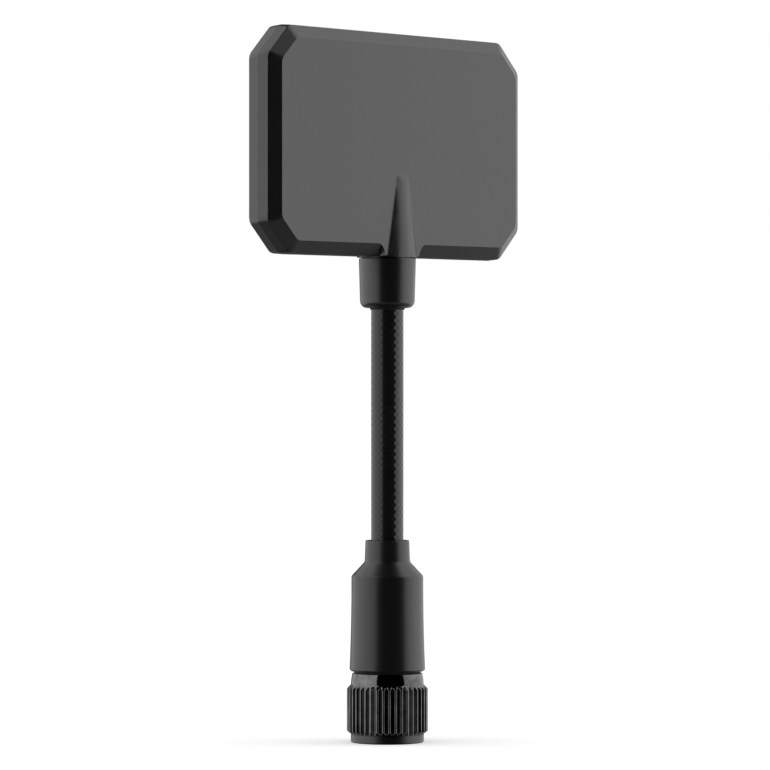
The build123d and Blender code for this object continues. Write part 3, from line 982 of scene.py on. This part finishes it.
@dataclass(frozen=True)
class Studio:
    """The floor, the white surround, the softboxes, the cards and the camera.

    The camera's places are in millimetres, and the set's lengths are in metres.
    """

    view_turn: float = 0.84
    distance: float = 540.8
    shift_right: float = -0.29
    eye_height: float = 43.98
    lens: float = 205.2
    sensor: float = 36.0
    fill: float = 0.5
    floor_radius: float = 4.0
    floor_grey: float = 0.9
    floor_lift_near: float = 0.3
    floor_lift_far: float = 0.6
    floor_lift_reach: float = 1.6
    card_share: float = 1.05
    lamp_reach: float = 0.9
    lamp_low: float = -0.42
    lamp_high: float = 1.93
    # Each softbox: its first and last azimuth in degrees from the front, and its radiance.
    lamps: tuple[tuple[float, float, float], ...] = (
        (8, 16, 0.5), (16, 26, 0.85), (26, 36, 1.15), (36, 48, 1.3), (48, 60, 1.25),
        (60, 72, 0.9), (72, 84, 0.5), (84, 96, 0.3), (96, 108, 0.2),
        (-92, -83, 0.45), (-104, -92, 0.6), (-116, -104, 0.8), (-140, -116, 1.05),
        (-160, -140, 1.0), (-180, -160, 0.58), (-200, -180, 0.22),
    )
    # Each upright card: its first and last azimuth, and its grey.
    cards: tuple[tuple[float, float, float], ...] = (
        (-83, 8, 0.0), (108, 124, 0.6), (124, 160, 0.1)
    )
    # Each level card: its height in metres, its radius and its grey.
    lids: tuple[tuple[float, float, float], ...] = (
        (1.95, 1.0, 0.0), (-0.43, 1.0, 0.33), (-0.42, 0.34, 0.03)
    )

    def camera(self) -> None:
        """Sets the camera where the photograph was taken from, level with the stem."""
        ahead = Vector((math.sin(self.view_turn), math.cos(self.view_turn), 0.0))
        right = Vector((math.cos(self.view_turn), -math.sin(self.view_turn), 0.0))
        data = bpy.data.cameras.new("camera")
        data.lens = self.lens
        data.sensor_width = self.sensor
        data.clip_start = 0.01
        camera = bpy.data.objects.new("camera", data)
        place = ahead * -self.distance + right * self.shift_right
        camera.location = Vector((place.x, place.y, self.eye_height)) * MM
        camera.rotation_euler = (math.pi / 2, 0.0, -self.view_turn)
        bpy.context.scene.collection.objects.link(camera)
        bpy.context.scene.camera = camera

    def white_share(self, tree: ShaderTree) -> Signal:
        """1 for the rays that see the set as white, and 0 for the rest."""
        path = tree.node("ShaderNodeLightPath", {}, {})
        share: Number = 0.0
        for kind in WHITE_RAYS:
            share = tree.math("MAXIMUM", Signal(tree, path.outputs[kind]), share)
        return share

    def world(self) -> None:
        """A white surround for the camera, gloss and glass, and a soft fill for the rest."""
        world = bpy.data.worlds.new("surround")
        world.use_nodes = True
        bpy.context.scene.world = world
        tree = ShaderTree(world.node_tree)
        white = tree.node("ShaderNodeBackground", {}, {"Color": WHITE, "Strength": 1.0})
        fill = tree.node("ShaderNodeBackground", {}, {"Color": WHITE, "Strength": self.fill})
        share = self.white_share(tree)
        mixed = tree.node(
            "ShaderNodeMixShader", {}, {0: share, 1: fill.outputs[0], 2: white.outputs[0]}
        )
        tree.node("ShaderNodeOutputWorld", {}, {"Surface": mixed.outputs[0]})

    def floor(self) -> None:
        """A round pale floor that keeps the antenna's shadow."""
        material = bpy.data.materials.new("pale_floor")
        material.use_nodes = True
        tree = ShaderTree(material.node_tree)
        grey = (self.floor_grey,) * 3
        paint = tree.node("ShaderNodeBsdfDiffuse", {}, {"Color": (*grey, 1.0)})
        x, y, _ = tree.axes(tree.place())
        away = ((x * x + y * y) ** 0.5).step(0.0, self.floor_lift_reach)
        glow = tree.blend(away, (self.floor_lift_near,) * 3, (self.floor_lift_far,) * 3)
        lift = tree.node("ShaderNodeEmission", {}, {"Color": glow, "Strength": 1.0})
        both = tree.node("ShaderNodeAddShader", {}, {0: paint.outputs[0], 1: lift.outputs[0]})
        share = self.white_share(tree)
        mixed = tree.node(
            "ShaderNodeMixShader", {}, {0: share, 1: paint.outputs[0], 2: both.outputs[0]}
        )
        tree.node("ShaderNodeOutputMaterial", {}, {"Surface": mixed.outputs[0]})
        shape = bmesh.new()
        bmesh.ops.create_circle(shape, cap_ends=True, segments=96, radius=self.floor_radius)
        floor = self.set_out("floor", shape, material)
        floor.visible_shadow = False
        floor.visible_glossy = False

    def set_out(
        self, name: str, shape: bmesh.types.BMesh, material: bpy.types.Material
    ) -> bpy.types.Object:
        """Makes a stage object from a shape.

        Args:
            name: the object's name.
            shape: its shape, which is freed.
            material: its one material.

        Returns:
            The new object, staged.
        """
        data = bpy.data.meshes.new(name)
        shape.to_mesh(data)
        shape.free()
        data.materials.append(material)
        made = bpy.data.objects.new(name, data)
        bpy.context.scene.collection.objects.link(made)
        return made

    def softboxes(self) -> None:
        """Tall softboxes on a ring, edge to edge, to the right and to the left of the camera."""
        height = self.lamp_high - self.lamp_low
        for index, (start, end, radiance) in enumerate(self.lamps):
            half = math.radians(end - start) / 2
            width = 2 * self.lamp_reach * math.tan(half)
            data = bpy.data.lights.new(f"softbox_{index}", "AREA")
            data.shape = "RECTANGLE"
            data.size = width
            data.size_y = height
            data.energy = radiance * math.pi * width * height
            lamp = bpy.data.objects.new(f"softbox_{index}", data)
            turn = math.radians((start + end) / 2)
            middle = (self.lamp_low + self.lamp_high) / 2
            lamp.location = (
                self.lamp_reach * math.sin(turn), -self.lamp_reach * math.cos(turn), middle
            )
            lamp.rotation_euler = (math.pi / 2, 0.0, turn)
            lamp.visible_camera = False
            bpy.context.scene.collection.objects.link(lamp)

    def card(self, name: str, shape: bmesh.types.BMesh, grey: float) -> None:
        """Sets out a card that only gloss sees, with an even grey glow."""
        material = bpy.data.materials.new(name)
        material.use_nodes = True
        tree = ShaderTree(material.node_tree)
        glow = tree.node("ShaderNodeEmission", {}, {"Color": WHITE, "Strength": grey})
        tree.node("ShaderNodeOutputMaterial", {}, {"Surface": glow.outputs[0]})
        card = self.set_out(name, shape, material)
        card.visible_camera = False
        card.visible_diffuse = False
        card.visible_shadow = False
        card.visible_transmission = False

    def flags(self) -> None:
        """Dark and grey cards round, over and under the set, so that black stays black."""
        reach = self.lamp_reach * self.card_share
        for index, (start, end, grey) in enumerate(self.cards):
            shape = bmesh.new()
            turn = math.radians(start)
            side = Vector((reach * math.sin(turn), -reach * math.cos(turn), 0.0))
            foot = shape.verts.new(side + Vector((0.0, 0.0, self.lamp_low)))
            head = shape.verts.new(side + Vector((0.0, 0.0, self.lamp_high)))
            edge = shape.edges.new((foot, head))
            bmesh.ops.spin(
                shape, geom=[foot, head, edge], cent=(0, 0, 0), axis=(0, 0, 1),
                angle=math.radians(end - start), steps=24,
            )
            self.card(f"card_{index}", shape, grey)
        for index, (height, radius, grey) in enumerate(self.lids):
            shape = bmesh.new()
            bmesh.ops.create_circle(shape, cap_ends=True, segments=64, radius=radius)
            bmesh.ops.translate(shape, vec=(0.0, 0.0, height), verts=shape.verts)
            self.card(f"lid_{index}", shape, grey)

    def build(self) -> None:
        """Sets out the whole studio."""
        bpy.context.scene.view_settings.view_transform = "Standard"
        self.camera()
        self.world()
        self.floor()
        self.softboxes()
        self.flags()
        log.info("studio: camera, floor, %d softboxes, %d cards", len(self.lamps), len(self.cards))


def main() -> None:
    """Builds the studio and the antenna."""
    logging.basicConfig(level=logging.INFO, format="%(name)s %(message)s")
    Studio().build()
    pieces = [
        HeadShell("rear_half", Body.ANTENNA, Slot.SHELL, SHELL_SATIN, ("rear_shell",)),
        HeadShell("front_half", Body.ANTENNA, Slot.SHELL, SHELL_SATIN, ("front_shell",)),
        StemCollar(
            "stem_collar", Body.ANTENNA, Slot.COLLAR, COLLAR_SATIN, ("collar",),
            ring_finish=PAINTED_SHADE_RING,
        ),
        StemSleeve("film_sleeve", Body.ANTENNA, Slot.SLEEVE, SLEEVE_FILM, ("stem_sleeve",)),
        PlugBoot(
            "plug_boot", Body.ANTENNA, Slot.BOOT, BOOT_SATIN, ("boot",), ring_finish=PAINTED_SHADE_RING
        ),
        CouplingNut("knurled_nut", Body.NUT, Slot.NUT, BLACK_PLATE, ("coupling_nut",), crease=50.0),
    ]
    for piece in pieces:
        piece.build()
    InnerParts().dress()


if __name__ == "__main__":
    main()
